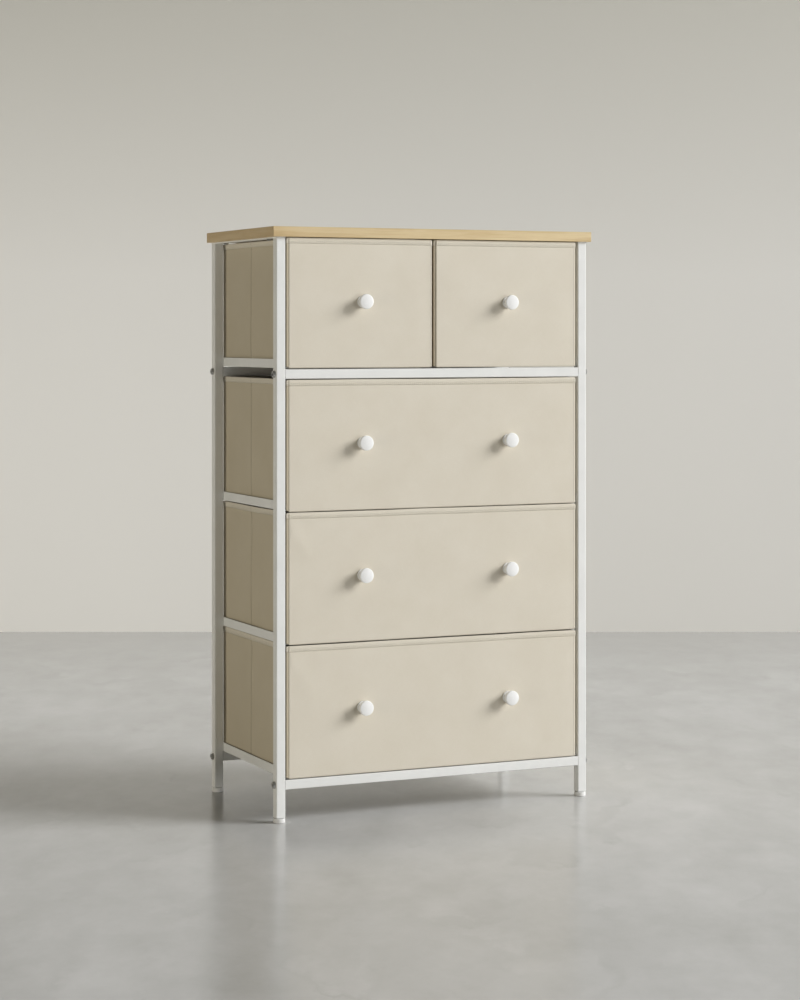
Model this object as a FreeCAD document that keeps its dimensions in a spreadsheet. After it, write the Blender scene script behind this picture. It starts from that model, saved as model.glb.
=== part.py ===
import FreeCAD, Part
import math
import os
import Sketcher

# Fabric drawer dresser: a white square-tube frame with a wooden top board, two small
# drawers in the top row and three wide ones below, each sliding on steel angles.
# +X is the right side, -Y the front with the knobs, +Z up. The origin is on the floor,
# under the middle of the overall width and of the overall depth with the knobs.
# Lengths are in millimetres.

SIZES = {
    # frame
    "frame_width": 542,
    "frame_depth": 292,
    "tube": 15,
    "tube_wall": 1,
    "tube_corner": 1.5,
    "bottom_rail_height": 51,
    "top_bar_thickness": 2,
    # top board
    "board_thickness": 16,
    "board_side_overhang": 7,
    "board_end_overhang": 5,
    "board_edge_round": 0.8,
    "board_screw_spacing": 194,
    "board_screw_head": 8,
    "board_screw_head_height": 2.5,
    "board_screw_shank": 3.9,
    "board_screw_bite": 11,
    # bolts and the threaded plugs in the rail ends
    "bolt_head": 10.5,
    "bolt_head_height": 3,
    "bolt_shank": 5.9,
    "bolt_length": 32,
    "bolt_socket": 4,
    "bolt_socket_depth": 1.7,
    "rail_nut_length": 20,
    # feet
    "foot_height": 8,
    "foot_base_height": 7.2,
    "foot_diameter": 18.5,
    "foot_chamfer": 0.8,
    "foot_stud": 5.9,
    "foot_stud_length": 18,
    "foot_socket_length": 22,
    # runners and the centre support
    "runner_thickness": 1.2,
    "runner_side": 14,
    "runner_shelf": 20,
    "runner_end_inset": 5,
    "runner_lift": 1.5,
    "support_width": 44,
    "support_drop": 12,
    # drawers
    "drawer_height": 200.7,
    "row_gap": 5.8,
    "rail_gap": 1.8,
    "board_gap": 0.8,
    "side_gap": 6,
    "middle_gap": 8,
    "back_gap": 1,
    "front_proud": 1,
    "slide_clearance": 0.3,
    "fabric_wall": 2,
    "hem_height": 9,
    "hem_proud": 0.6,
    "front_lip": 1.5,
    "front_board_thickness": 4,
    "front_board_drop": 11,
    "bottom_board_thickness": 3,
    "stiffener_clearance": 1,
    # knobs
    "knob_height": 102,
    "knob_length": 19,
    "knob_cap": 23.5,
    "knob_cap_thickness": 6,
    "knob_dome": 1.4,
    "knob_neck": 14,
    "knob_base": 18.5,
    "knob_base_height": 2.5,
    "knob_screw_shank": 3.9,
    "knob_screw_head": 8,
    "knob_screw_head_height": 2.4,
    "knob_screw_bite": 11,
    "knob_washer": 14,
    "knob_washer_thickness": 1,
    # shapes of heads and roundings, as ratios to the lengths they belong to
    "button_flat_ratio": 0.6,
    "button_shoulder_ratio": 0.85,
    "button_shoulder_height_ratio": 0.75,
    "pan_flat_ratio": 0.7,
    "pan_shoulder_height_ratio": 0.5,
    "cloth_corner_ratio": 0.9,
    "knob_flare_ratio": 0.7,
    "knob_rim_round_ratio": 0.4,
    "knob_back_round_ratio": 0.2,
    "knob_foot_round_ratio": 0.6,
    "knob_base_round_ratio": 0.3,
    # fits
    "hole_clearance": 0.6,
    "thread_clearance": 0.15,
    "plug_clearance": 0.1,
}

doc = FreeCAD.newDocument("fabric_drawer_dresser")
sheet = doc.addObject("Spreadsheet::Sheet", "sizes")
nodes = []


class Size:
    # A length as a number and as the spreadsheet expression that gives it.
    def __init__(self, number, text):
        self.number = number
        self.text = text

    def joined(self, sign, other, number):
        return Size(number, f"({self.text} {sign} {other.text})")

    def __add__(self, other):
        other = as_size(other)
        return self.joined("+", other, self.number + other.number)

    def __sub__(self, other):
        other = as_size(other)
        return self.joined("-", other, self.number - other.number)

    def __mul__(self, other):
        other = as_size(other)
        return self.joined("*", other, self.number * other.number)

    def __truediv__(self, other):
        other = as_size(other)
        return self.joined("/", other, self.number / other.number)

    def __neg__(self):
        return Size(-self.number, f"(-1 * {self.text})")

    __radd__ = __add__
    __rmul__ = __mul__


def as_size(value):
    return value if isinstance(value, Size) else Size(value, repr(float(value)))


size = {}
for row, (name, number) in enumerate(SIZES.items(), start=1):
    sheet.set(f"A{row}", name)
    sheet.set(f"B{row}", str(number))
    sheet.setAlias(f"B{row}", name)
    size[name] = Size(number, f"sizes.{name}")
doc.recompute()

ZERO = as_size(0)
QUARTER_TURN = 90
HALF_TURN = 180
FULL_TURN = 360
HEXAGON_SIDES = 6
# How close two directions and two lengths are when they count as the same.
PARALLEL = 1e-6
SAME_LENGTH = 0.01
# places of x and z in a vector
ACROSS = 0
UPRIGHT = 2


# Sizes that follow from the driving ones --------------------------------------------

post_x = size["frame_width"] / 2 - size["tube"] / 2
post_inner_x = size["frame_width"] / 2 - size["tube"]
tube_bore = size["tube"] - 2 * size["tube_wall"]

# The overall depth runs from the knob faces to the board's back edge.
front_reach = size["frame_depth"] / 2 + size["front_proud"] + size["knob_length"]
back_reach = size["frame_depth"] / 2 + size["board_end_overhang"]
frame_y = (front_reach - back_reach) / 2
frame_front = frame_y - size["frame_depth"] / 2
post_y = {"front": frame_front + size["tube"] / 2,
          "back": frame_front + size["frame_depth"] - size["tube"] / 2}

# Heights, built up from the floor. A drawer rests just clear of its runners' shelves.
seat_rise = size["runner_thickness"] + size["slide_clearance"]
row_pitch = size["drawer_height"] + size["row_gap"]
bottom_rail_z = size["bottom_rail_height"] + size["tube"] / 2
lower_runner_z = size["bottom_rail_height"] + size["tube"] + size["runner_lift"]
middle_runner_z = lower_runner_z + row_pitch
upper_runner_z = middle_runner_z + row_pitch
upper_drawer_top = upper_runner_z + seat_rise + size["drawer_height"]
middle_rail_z = upper_drawer_top + size["rail_gap"] + size["tube"] / 2
top_runner_z = middle_rail_z + size["tube"] / 2 + size["runner_lift"]
board_z = top_runner_z + seat_rise + size["drawer_height"] + size["board_gap"]
post_top = board_z - size["top_bar_thickness"]
post_length = post_top - size["foot_height"]

# Drawers
wide_width = size["frame_width"] - 2 * size["tube"] - 2 * size["side_gap"]
small_width = (wide_width - size["middle_gap"]) / 2
drawer_depth = size["frame_depth"] + size["front_proud"] - size["back_gap"]
drawer_front = frame_front - size["front_proud"]
small_x = (small_width + size["middle_gap"]) / 2
cloth_corner = size["fabric_wall"] * size["cloth_corner_ratio"]

bolt_hole = size["bolt_shank"] + size["hole_clearance"]
bolt_thread = size["bolt_shank"] + size["thread_clearance"]
foot_thread = size["foot_stud"] + size["thread_clearance"]
board_screw_hole = size["board_screw_shank"] + size["hole_clearance"]
board_screw_pilot = size["board_screw_shank"] + size["thread_clearance"]
knob_screw_hole = size["knob_screw_shank"] + size["hole_clearance"]
knob_thread = size["knob_screw_shank"] + size["thread_clearance"]
plug_width = tube_bore - size["plug_clearance"]


# Modelling helpers ------------------------------------------------------------------

def bind(thing, path, length):
    thing.setExpression(path, as_size(length).text)


def place(thing, x=ZERO, y=ZERO, z=ZERO, turn=0):
    # Stands a piece at x, y, z, turned about the vertical by a fixed angle.
    upright = FreeCAD.Rotation(FreeCAD.Vector(0, 0, 1), turn)
    thing.Placement = FreeCAD.Placement(FreeCAD.Vector(), upright)
    bind(thing, ".Placement.Base.x", x)
    bind(thing, ".Placement.Base.y", y)
    bind(thing, ".Placement.Base.z", z)


def new_body(name, keep=True):
    body = doc.addObject("PartDesign::Body", name)
    body.Label = name
    if keep:
        nodes.append(body)
    return body


def new_sketch(body, plane, offset=ZERO):
    # A sketch on one of the body's origin planes, moved along that plane's normal.
    sketch = body.newObject("Sketcher::SketchObject", f"{body.Name}_sketch")
    support = [item for item in body.Origin.OriginFeatures if item.Role == plane][0]
    sketch.AttachmentSupport = (support, [""])
    sketch.MapMode = "FlatFace"
    bind(sketch, ".AttachmentOffset.Base.z", offset)
    return sketch


def fix_point(sketch, geometry, end, x, y):
    for kind, length in (("DistanceX", x), ("DistanceY", y)):
        index = sketch.addConstraint(
            Sketcher.Constraint(kind, -1, 1, geometry, end, as_size(length).number))
        bind(sketch, f"Constraints[{index}]", length)


def outline(sketch, points):
    # A closed outline of straight lines through the points.
    corners = [FreeCAD.Vector(as_size(x).number, as_size(y).number) for x, y in points]
    first = sketch.GeometryCount
    count = len(points)
    for index in range(count):
        sketch.addGeometry(Part.LineSegment(corners[index], corners[(index + 1) % count]))
    for index in range(count):
        following = first + (index + 1) % count
        sketch.addConstraint(Sketcher.Constraint("Coincident", first + index, 2, following, 1))
    for index, (x, y) in enumerate(points):
        fix_point(sketch, first + index, 1, x, y)


def rectangle(sketch, x_low, x_high, y_low, y_high):
    outline(sketch, [(x_low, y_low), (x_high, y_low), (x_high, y_high), (x_low, y_high)])


def square(sketch, side):
    rectangle(sketch, -side / 2, side / 2, -side / 2, side / 2)


def circle(sketch, x, y, diameter):
    centre = FreeCAD.Vector(as_size(x).number, as_size(y).number)
    radius = diameter.number / 2
    index = sketch.addGeometry(Part.Circle(centre, FreeCAD.Vector(0, 0, 1), radius))
    fix_point(sketch, index, 3, x, y)
    size_rule = sketch.addConstraint(Sketcher.Constraint("Diameter", index, diameter.number))
    bind(sketch, f"Constraints[{size_rule}]", diameter)


def pad(body, sketch, length, both_ways=False, reverse=False):
    feature = body.newObject("PartDesign::Pad", f"{body.Name}_pad")
    feature.Profile = sketch
    bind(feature, "Length", length)
    feature.SideType = "Symmetric" if both_ways else "One side"
    feature.Reversed = reverse
    doc.recompute()


def pocket(body, sketch, depth, both_ways=False, reverse=False):
    before = body.Shape.Volume
    feature = body.newObject("PartDesign::Pocket", f"{body.Name}_pocket")
    feature.Profile = sketch
    bind(feature, "Length", depth)
    feature.SideType = "Symmetric" if both_ways else "One side"
    feature.Reversed = reverse
    doc.recompute()
    if body.Shape.Volume >= before:
        raise RuntimeError(f"{feature.Name} cuts nothing")


def revolve(body, sketch, axis):
    feature = body.newObject("PartDesign::Revolution", f"{body.Name}_turned")
    feature.Profile = sketch
    feature.ReferenceAxis = (sketch, [axis])
    feature.Angle = FULL_TURN
    doc.recompute()


def round_edges(body, chosen, radius):
    # Rounds the edges of the body's last feature that the chosen rule picks.
    base = body.Tip
    names = [f"Edge{index}" for index, edge in enumerate(base.Shape.Edges, start=1) if chosen(edge)]
    if not names:
        raise RuntimeError(f"no edge to round on {body.Name}")
    feature = body.newObject("PartDesign::Fillet", f"{body.Name}_rounding")
    feature.Base = (base, names)
    bind(feature, "Radius", radius)
    doc.recompute()


def runs_along(edge, axis):
    # True for a straight edge along the axis with that place in a vector.
    if not isinstance(edge.Curve, Part.Line):
        return False
    return abs(abs(edge.Curve.Direction[axis]) - 1) < PARALLEL


def near(value, length):
    return abs(value - as_size(length).number) < SAME_LENGTH


def gather(name, pieces):
    # One node that keeps its pieces as separate solids.
    compound = doc.addObject("Part::Compound", name)
    compound.Label = name
    compound.Links = pieces
    nodes.append(compound)
    doc.recompute()
    return compound


def group(name, copies):
    # Identical fasteners as one node, each a placed link of its template.
    links = []
    for template, x, y, z, turn in copies:
        link = doc.addObject("App::Link", f"{name}_{len(links) + 1}")
        link.LinkedObject = template
        place(link, x, y, z, turn)
        links.append(link)
    gather(name, links)


# Frame ------------------------------------------------------------------------------

SIDES = {"left": -1, "right": 1}
# Turns a piece drawn from the outside in along +X to face inward on its side.
INWARD = {"left": 0, "right": HALF_TURN}


def tube_section(body, plane):
    sketch = new_sketch(body, plane)
    square(sketch, size["tube"])
    square(sketch, tube_bore)
    return sketch


def make_post(end, side):
    body = new_body(f"post_{end}_{side}")
    pad(body, tube_section(body, "XY_Plane"), post_length)
    outer = size["tube"] / 2
    round_edges(body, lambda edge: (runs_along(edge, UPRIGHT)
                                    and near(abs(edge.CenterOfMass.x), outer)),
                size["tube_corner"])
    holes = new_sketch(body, "YZ_Plane")
    for height in (bottom_rail_z, middle_rail_z):
        circle(holes, ZERO, height - size["foot_height"], bolt_hole)
    pocket(body, holes, 2 * size["tube"], both_ways=True)
    place(body, SIDES[side] * post_x, post_y[end], size["foot_height"])


def make_top_bar(side):
    body = new_body(f"side_top_bar_{side}")
    sketch = new_sketch(body, "XY_Plane")
    rectangle(sketch, -size["tube"] / 2, size["tube"] / 2,
              -size["frame_depth"] / 2, size["frame_depth"] / 2)
    for way in (-1, 1):
        circle(sketch, ZERO, way * size["board_screw_spacing"] / 2, board_screw_hole)
    pad(body, sketch, size["top_bar_thickness"])
    place(body, SIDES[side] * post_x, frame_y, post_top)


def make_cross_rail(name, end, height):
    body = new_body(name)
    pad(body, tube_section(body, "YZ_Plane"), 2 * post_inner_x, both_ways=True)
    outer = size["tube"] / 2
    round_edges(body, lambda edge: (runs_along(edge, ACROSS)
                                    and near(abs(edge.CenterOfMass.y), outer)),
                size["tube_corner"])
    place(body, ZERO, post_y[end], height)


def make_runner(row, side, height):
    # Steel angle: the upright leg is fixed to the posts' inner faces, the shelf carries the drawer.
    body = new_body(f"runner_{row}_{side}")
    sheet_metal = size["runner_thickness"]
    sketch = new_sketch(body, "XZ_Plane")
    outline(sketch, [(ZERO, ZERO), (size["runner_shelf"], ZERO), (size["runner_shelf"], sheet_metal),
                     (sheet_metal, sheet_metal), (sheet_metal, size["runner_side"]),
                     (ZERO, size["runner_side"])])
    pad(body, sketch, size["frame_depth"] - 2 * size["runner_end_inset"], both_ways=True)
    place(body, SIDES[side] * post_inner_x, frame_y, height, INWARD[side])


def make_centre_support():
    # Channel, open below, welded between the two middle rails.
    body = new_body("centre_support")
    sheet_metal = size["runner_thickness"]
    half = size["support_width"] / 2
    drop = size["support_drop"]
    sketch = new_sketch(body, "XZ_Plane")
    outline(sketch, [(-half, sheet_metal), (-half, -drop), (sheet_metal - half, -drop),
                     (sheet_metal - half, ZERO), (half - sheet_metal, ZERO),
                     (half - sheet_metal, -drop), (half, -drop), (half, sheet_metal)])
    pad(body, sketch, size["frame_depth"] - 2 * size["tube"], both_ways=True)
    place(body, ZERO, frame_y, top_runner_z)


def make_top_board():
    body = new_body("top_board")
    half_width = size["frame_width"] / 2 + size["board_side_overhang"]
    half_depth = size["frame_depth"] / 2 + size["board_end_overhang"]
    sketch = new_sketch(body, "XY_Plane")
    rectangle(sketch, -half_width, half_width, -half_depth, half_depth)
    pad(body, sketch, size["board_thickness"])
    round_edges(body, lambda edge: True, size["board_edge_round"])
    pilots = new_sketch(body, "XY_Plane")
    for side in SIDES.values():
        for way in (-1, 1):
            circle(pilots, side * post_x, way * size["board_screw_spacing"] / 2, board_screw_pilot)
    pocket(body, pilots, size["board_screw_bite"] + size["hole_clearance"], reverse=True)
    place(body, ZERO, frame_y, board_z)


for end in ("front", "back"):
    for side in SIDES:
        make_post(end, side)
    make_cross_rail(f"{end}_middle_rail", end, middle_rail_z)
    make_cross_rail(f"{end}_bottom_rail", end, bottom_rail_z)
for side in SIDES:
    make_top_bar(side)
    make_runner("top", side, top_runner_z)
    make_runner("upper", side, upper_runner_z)
    make_runner("middle", side, middle_runner_z)
    make_runner("lower", side, lower_runner_z)
make_centre_support()
make_top_board()


# Feet -------------------------------------------------------------------------------

def make_foot(end, side):
    # Round base and threaded stud in one, turned about the vertical axis.
    body = new_body(f"foot_{end}_{side}")
    base = size["foot_diameter"] / 2
    stud = size["foot_stud"] / 2
    bevel = size["foot_chamfer"]
    top = size["foot_height"] + size["foot_stud_length"]
    sketch = new_sketch(body, "XZ_Plane")
    outline(sketch, [(ZERO, ZERO), (base - bevel, ZERO), (base, bevel),
                     (base, size["foot_base_height"] - bevel),
                     (base - bevel, size["foot_base_height"]),
                     (stud, size["foot_base_height"]), (stud, top), (ZERO, top)])
    revolve(body, sketch, "V_Axis")
    place(body, SIDES[side] * post_x, post_y[end])


def make_threaded_plug(name, plane, length, thread):
    # Square plug for a tube's end with a bore right through it. Its outer face is at the
    # origin, and it runs along the plane's normal.
    body = new_body(name, keep=False)
    sketch = new_sketch(body, plane)
    square(sketch, plug_width)
    circle(sketch, ZERO, ZERO, thread)
    pad(body, sketch, length)
    return body


foot_socket = make_threaded_plug("foot_socket_pattern", "XY_Plane", size["foot_socket_length"],
                                 foot_thread)
group("foot_sockets", [(foot_socket, SIDES[side] * post_x, post_y[end], size["foot_height"], 0)
                       for end in post_y for side in SIDES])
for end in post_y:
    for side in SIDES:
        make_foot(end, side)


# Fasteners of the frame ---------------------------------------------------------------

def make_frame_bolt():
    # Button-head bolt along +X with the underside of its head at the origin.
    body = new_body("frame_bolt_pattern", keep=False)
    head = size["bolt_head"] / 2
    shank = size["bolt_shank"] / 2
    sketch = new_sketch(body, "XY_Plane")
    top = -size["bolt_head_height"]
    outline(sketch, [(top, ZERO), (top, head * size["button_flat_ratio"]),
                     (top * size["button_shoulder_height_ratio"], head * size["button_shoulder_ratio"]),
                     (ZERO, head), (ZERO, shank), (size["bolt_length"], shank),
                     (size["bolt_length"], ZERO)])
    revolve(body, sketch, "H_Axis")
    socket = new_sketch(body, "YZ_Plane", top)
    corner = size["bolt_socket"] / math.sqrt(3)
    turns = [math.tau * step / HEXAGON_SIDES for step in range(HEXAGON_SIDES)]
    outline(socket, [(corner * math.cos(turn), corner * math.sin(turn)) for turn in turns])
    pocket(body, socket, size["bolt_socket_depth"], reverse=True)
    return body


def pan_screw(name, plane, head_width, head_height, shank_width, reach):
    # Pan-head screw along the sketch's vertical axis, the underside of its head at the origin.
    # Its reach is negative where the shank runs down that axis, and so is its head's height
    # where the head stands below the origin.
    body = new_body(name, keep=False)
    head = head_width / 2
    shank = shank_width / 2
    sketch = new_sketch(body, plane)
    outline(sketch, [(ZERO, head_height), (head * size["pan_flat_ratio"], head_height),
                     (head, head_height * size["pan_shoulder_height_ratio"]), (head, ZERO),
                     (shank, ZERO), (shank, reach), (ZERO, reach)])
    revolve(body, sketch, "V_Axis")
    return body


rail_nut = make_threaded_plug("rail_nut_pattern", "YZ_Plane", size["rail_nut_length"], bolt_thread)
frame_bolt = make_frame_bolt()
board_screw = pan_screw("board_screw_pattern", "XZ_Plane", size["board_screw_head"],
                        -size["board_screw_head_height"], size["board_screw_shank"],
                        size["top_bar_thickness"] + size["board_screw_bite"])
rail_ends = [(side, end, height) for side in SIDES for end in post_y
             for height in (bottom_rail_z, middle_rail_z)]
group("rail_end_nuts", [(rail_nut, SIDES[side] * post_inner_x, post_y[end], height, INWARD[side])
                        for side, end, height in rail_ends])
group("frame_bolts", [(frame_bolt, SIDES[side] * size["frame_width"] / 2, post_y[end], height,
                       INWARD[side]) for side, end, height in rail_ends])
group("board_screws", [(board_screw, SIDES[side] * post_x,
                        frame_y + way * size["board_screw_spacing"] / 2, post_top, 0)
                       for side in SIDES for way in (-1, 1)])


# Drawers ------------------------------------------------------------------------------

def add_block(body, x_range, y_range, z_range):
    sketch = new_sketch(body, "XY_Plane", z_range[0])
    rectangle(sketch, *x_range, *y_range)
    pad(body, sketch, z_range[1] - z_range[0])


def make_cloth(name, x_range, y_range, hem_x_range, hem_y_range, rounded_y=None):
    # Upright wall of cloth with the thicker hem along its top. The wall's upright edges at
    # rounded_y are rounded below the hem.
    body = new_body(name, keep=False)
    height = size["drawer_height"]
    add_block(body, x_range, y_range, (ZERO, height))
    if rounded_y:
        round_edges(body, lambda edge: (runs_along(edge, UPRIGHT)
                                        and near(edge.CenterOfMass.y, rounded_y)), cloth_corner)
    add_block(body, hem_x_range, hem_y_range, (height - size["hem_height"], height))
    return body


def make_shell(name, width, knob_places):
    # Open box sewn from five pieces of cloth: floor, sides, back and front. Its local origin
    # is on the floor's underside, in the middle of the front face.
    wall = size["fabric_wall"]
    hem = size["hem_proud"]
    half = width / 2
    inner = half - wall
    back = drawer_depth - wall
    across = (-half, half)
    hem_across = (-half - hem, half + hem)
    between = (wall, back)
    floor = new_body(f"{name}_floor", keep=False)
    add_block(floor, (-inner, inner), between, (ZERO, wall))
    left = make_cloth(f"{name}_left", (-half, -inner), between, (-half - hem, -inner), between)
    right = make_cloth(f"{name}_right", (inner, half), between, (inner, half + hem), between)
    rear = make_cloth(f"{name}_back", across, (back, drawer_depth), hem_across,
                      (back, drawer_depth + hem), drawer_depth)
    front = make_cloth(f"{name}_front", across, (ZERO, wall), hem_across, (-hem, wall), ZERO)
    add_block(front, (cloth_corner - half, half - cloth_corner), (ZERO, wall),
              (-size["front_lip"], ZERO))
    holes = new_sketch(front, "XZ_Plane")
    for x in knob_places:
        circle(holes, x, size["knob_height"], knob_screw_hole)
    pocket(front, holes, 2 * wall)
    return gather(f"{name}_shell", [floor, left, right, rear, front])


def make_front_board(name, width, knob_places):
    # Stiffener against the inside of the front wall, standing on the fabric floor.
    body = new_body(f"{name}_front_board")
    half = width / 2 - size["fabric_wall"] - size["stiffener_clearance"]
    low = size["fabric_wall"]
    high = size["drawer_height"] - size["front_board_drop"]
    sketch = new_sketch(body, "XZ_Plane")
    rectangle(sketch, -half, half, low, high)
    for x in knob_places:
        circle(sketch, x, size["knob_height"], knob_screw_hole)
    pad(body, sketch, size["front_board_thickness"], reverse=True)
    return body


def make_bottom_board(name, width):
    body = new_body(f"{name}_bottom_board")
    half = width / 2 - size["fabric_wall"] - size["stiffener_clearance"]
    front = size["front_board_thickness"] + size["stiffener_clearance"]
    back = drawer_depth - 2 * size["fabric_wall"] - size["stiffener_clearance"]
    sketch = new_sketch(body, "XY_Plane")
    rectangle(sketch, -half, half, front, back)
    pad(body, sketch, size["bottom_board_thickness"])
    return body


def make_knob(name):
    # Turned knob with its base at the origin, pointing along -Y: base, neck and domed cap.
    body = new_body(name)
    bore = knob_thread / 2
    base = size["knob_base"] / 2
    neck = size["knob_neck"] / 2
    cap = size["knob_cap"] / 2
    tip = -size["knob_length"]
    rim = tip + size["knob_dome"]
    cap_back = tip + size["knob_cap_thickness"]
    bore_end = -size["knob_screw_bite"] - size["hole_clearance"]
    points = [(ZERO, tip), (ZERO, bore_end), (bore, bore_end), (bore, ZERO), (base, ZERO),
              (base, -size["knob_base_height"]), (neck, -size["knob_base_height"]),
              (neck, cap_back), (cap, cap_back), (cap, rim)]
    sketch = new_sketch(body, "XY_Plane")
    corners = [FreeCAD.Vector(x.number, y.number) for x, y in points]
    for start, stop in zip(corners, corners[1:]):
        sketch.addGeometry(Part.LineSegment(start, stop))
    # The face of the cap is an arc about a centre on the knob's axis.
    dome_radius = (cap * cap + size["knob_dome"] * size["knob_dome"]) / (2 * size["knob_dome"])
    centre = FreeCAD.Vector(0, tip.number + dome_radius.number)
    start_angle = math.radians(-QUARTER_TURN)
    stop_angle = math.atan2(rim.number - centre.y, cap.number)
    face = Part.ArcOfCircle(Part.Circle(centre, FreeCAD.Vector(0, 0, 1), dome_radius.number),
                            start_angle, stop_angle)
    arc = sketch.addGeometry(face)
    for index in range(len(points) - 2):
        sketch.addConstraint(Sketcher.Constraint("Coincident", index, 2, index + 1, 1))
    sketch.addConstraint(Sketcher.Constraint("Coincident", arc - 1, 2, arc, 2))
    sketch.addConstraint(Sketcher.Constraint("Coincident", 0, 1, arc, 1))
    sketch.addConstraint(Sketcher.Constraint("PointOnObject", arc, 3, -2))
    for index, (x, y) in enumerate(points[:-1]):
        fix_point(sketch, index, 1, x, y)
    fix_point(sketch, arc - 1, 2, cap, rim)
    revolve(body, sketch, "V_Axis")
    cap_side = size["knob_cap_thickness"] - size["knob_dome"]
    step = base - neck

    def ring(radius, y):
        return lambda edge: (not edge.Degenerated and isinstance(edge.Curve, Part.Circle)
                             and near(edge.Curve.Radius, radius) and near(edge.Curve.Center.y, y))

    round_edges(body, ring(neck, cap_back), (cap - neck) * size["knob_flare_ratio"])
    round_edges(body, ring(cap, rim), cap_side * size["knob_rim_round_ratio"])
    round_edges(body, ring(cap, cap_back), cap_side * size["knob_back_round_ratio"])
    round_edges(body, ring(neck, -size["knob_base_height"]), step * size["knob_foot_round_ratio"])
    round_edges(body, ring(base, -size["knob_base_height"]), step * size["knob_base_round_ratio"])
    return body


def make_knob_washer():
    # Washer with its front face at the origin, against the front board's back.
    body = new_body("knob_washer_pattern", keep=False)
    sketch = new_sketch(body, "XZ_Plane")
    circle(sketch, ZERO, ZERO, size["knob_washer"])
    circle(sketch, ZERO, ZERO, knob_screw_hole)
    pad(body, sketch, size["knob_washer_thickness"], reverse=True)
    return body


knob_screw_reach = (size["knob_washer_thickness"] + size["front_board_thickness"]
                    + size["fabric_wall"] + size["knob_screw_bite"])
knob_screw = pan_screw("knob_screw_pattern", "XY_Plane", size["knob_screw_head"],
                       size["knob_screw_head_height"], size["knob_screw_shank"],
                       -knob_screw_reach)
knob_washer = make_knob_washer()


def make_drawer(name, width, x, runner_z, knob_names):
    # knob_names maps the name of each knob to its place across the drawer's front.
    floor_z = runner_z + seat_rise
    inside_y = drawer_front + size["fabric_wall"]
    knob_places = list(knob_names.values())
    place(make_shell(name, width, knob_places), x, drawer_front, floor_z)
    place(make_front_board(name, width, knob_places), x, inside_y, floor_z)
    place(make_bottom_board(name, width), x, inside_y, floor_z + size["fabric_wall"])
    knob_z = floor_z + size["knob_height"]
    washer_y = inside_y + size["front_board_thickness"]
    screw_y = washer_y + size["knob_washer_thickness"]
    fasteners = []
    for knob, across in knob_names.items():
        place(make_knob(f"{name}_{knob}"), x + across, drawer_front, knob_z)
        fasteners.append((knob_screw, x + across, screw_y, knob_z, 0))
        fasteners.append((knob_washer, x + across, washer_y, knob_z, 0))
    group(f"{name}_knob_screws", fasteners)


make_drawer("small_drawer_left", small_width, -small_x, top_runner_z, {"knob": ZERO})
make_drawer("small_drawer_right", small_width, small_x, top_runner_z, {"knob": ZERO})
two_knobs = {"knob_left": -small_x, "knob_right": small_x}
make_drawer("upper_drawer", wide_width, ZERO, upper_runner_z, two_knobs)
make_drawer("middle_drawer", wide_width, ZERO, middle_runner_z, two_knobs)
make_drawer("lower_drawer", wide_width, ZERO, lower_runner_z, two_knobs)


# Check and write ------------------------------------------------------------------------

doc.recompute()
for thing in doc.Objects:
    if "Invalid" in thing.State or "Error" in thing.State:
        raise RuntimeError(f"{thing.Name} failed to build")
for node in nodes:
    if node.Shape.isNull() or not node.Shape.isValid() or not node.Shape.Solids:
        raise RuntimeError(f"{node.Label} has no valid solid")

os.makedirs("parts", exist_ok=True)
for node in nodes:
    node.Shape.exportStep(f"parts/{node.Label}.step")
    box = node.Shape.BoundBox
    print(f"{node.Label}: {len(node.Shape.Solids)} solids, {node.Shape.Volume / 1000:.2f} cm3, "
          f"x {box.XMin:.1f} to {box.XMax:.1f}, y {box.YMin:.1f} to {box.YMax:.1f}, "
          f"z {box.ZMin:.1f} to {box.ZMax:.1f}")
print(f"{len(nodes)} nodes")
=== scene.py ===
import math
import bpy
import numpy as np
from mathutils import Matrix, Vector


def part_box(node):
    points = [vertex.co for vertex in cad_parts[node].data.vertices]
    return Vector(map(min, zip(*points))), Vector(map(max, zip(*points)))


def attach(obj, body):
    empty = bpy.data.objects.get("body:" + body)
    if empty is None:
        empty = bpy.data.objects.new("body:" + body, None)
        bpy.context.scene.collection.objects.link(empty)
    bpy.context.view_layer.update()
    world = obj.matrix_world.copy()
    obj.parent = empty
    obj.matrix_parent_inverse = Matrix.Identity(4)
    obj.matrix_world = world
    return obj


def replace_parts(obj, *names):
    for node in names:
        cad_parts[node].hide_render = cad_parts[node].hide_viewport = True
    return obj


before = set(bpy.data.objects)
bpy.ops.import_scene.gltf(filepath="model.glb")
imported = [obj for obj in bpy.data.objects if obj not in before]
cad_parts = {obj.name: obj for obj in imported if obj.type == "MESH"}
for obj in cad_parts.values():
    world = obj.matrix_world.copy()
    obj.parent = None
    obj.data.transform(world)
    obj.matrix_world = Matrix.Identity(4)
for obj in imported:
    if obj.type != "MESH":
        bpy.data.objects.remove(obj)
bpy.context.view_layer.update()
print("frame loaded")

mm = 0.001  # the frame is in metres, the sizes below are in millimetres


# shader helpers: maths on sockets reads as maths

class Wire:
    # one socket of a material's node tree
    def __init__(self, paint, socket):
        self.paint = paint
        self.socket = socket

    def __add__(self, other):
        return self.paint.maths("ADD", self, other)

    def __sub__(self, other):
        return self.paint.maths("SUBTRACT", self, other)

    def __rsub__(self, other):
        return self.paint.maths("SUBTRACT", other, self)

    def __mul__(self, other):
        return self.paint.maths("MULTIPLY", self, other)

    def __gt__(self, other):
        return self.paint.maths("GREATER_THAN", self, other)

    __radd__ = __add__
    __rmul__ = __mul__


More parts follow.
